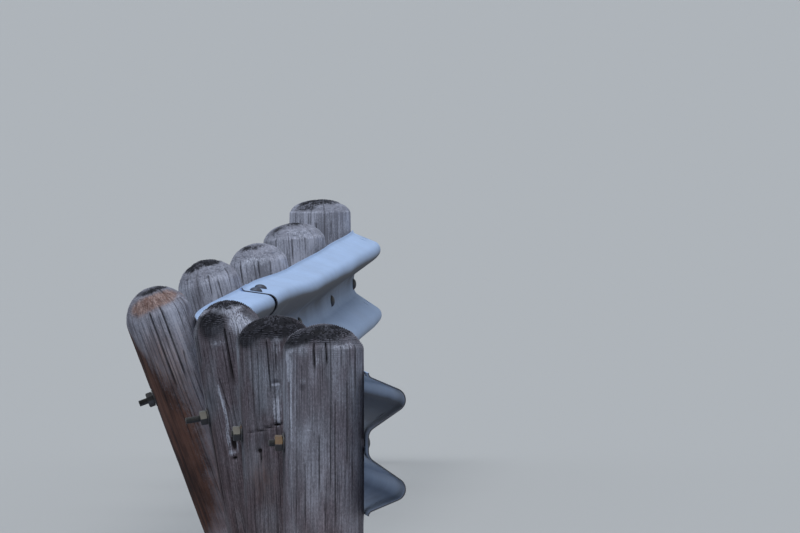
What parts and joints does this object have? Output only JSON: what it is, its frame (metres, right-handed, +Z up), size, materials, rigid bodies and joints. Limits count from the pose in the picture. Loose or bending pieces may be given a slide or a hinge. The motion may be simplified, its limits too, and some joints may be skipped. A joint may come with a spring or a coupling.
{
  "type": "highway guardrail section, timber posts with steel w-beam",
  "caption": "Struck stretch of roadside guardrail: a lapped galvanised steel W-beam bolted straight to leaning round weathered timber posts.",
  "frame": {"origin": "centre of the first post's foot, at ground level", "axes": "+X along the rail away from the first post, -Y towards the traffic, +Z up"},
  "size_m": [13.6485, 0.6791, 0.801],
  "materials": {
    "weathered_timber": "grey, checked and weathered, tops blackened",
    "galvanised_sheet": "dull weathered zinc",
    "bolt_steel": "dark, stained",
    "washer_steel": "dark, rust stained",
    "nut_steel": "yellowed passivated zinc"
  },
  "bodies": {
    "root": {"post_1": "weathered_timber", "post_2": "weathered_timber", "post_3": "weathered_timber", "post_4": "weathered_timber", "post_5": "weathered_timber", "post_6": "weathered_timber", "post_7": "weathered_timber", "post_8": "weathered_timber", "post_bolt_1": "bolt_steel", "post_bolt_2": "bolt_steel", "post_bolt_3": "bolt_steel", "post_bolt_4": "bolt_steel", "post_bolt_5": "bolt_steel", "post_bolt_6": "bolt_steel", "post_bolt_7": "bolt_steel", "post_bolt_8": "bolt_steel", "washer_1": "washer_steel", "washer_2": "washer_steel", "washer_3": "washer_steel", "washer_4": "washer_steel", "washer_5": "washer_steel", "washer_6": "washer_steel", "washer_7": "washer_steel", "washer_8": "washer_steel", "nut_1": "nut_steel", "nut_2": "nut_steel", "nut_3": "nut_steel", "nut_4": "nut_steel", "nut_5": "nut_steel", "nut_6": "nut_steel", "nut_7": "nut_steel", "nut_8": "nut_steel", "rail_near": "galvanised_sheet", "rail_far": "galvanised_sheet"}
  },
  "joints": []
}
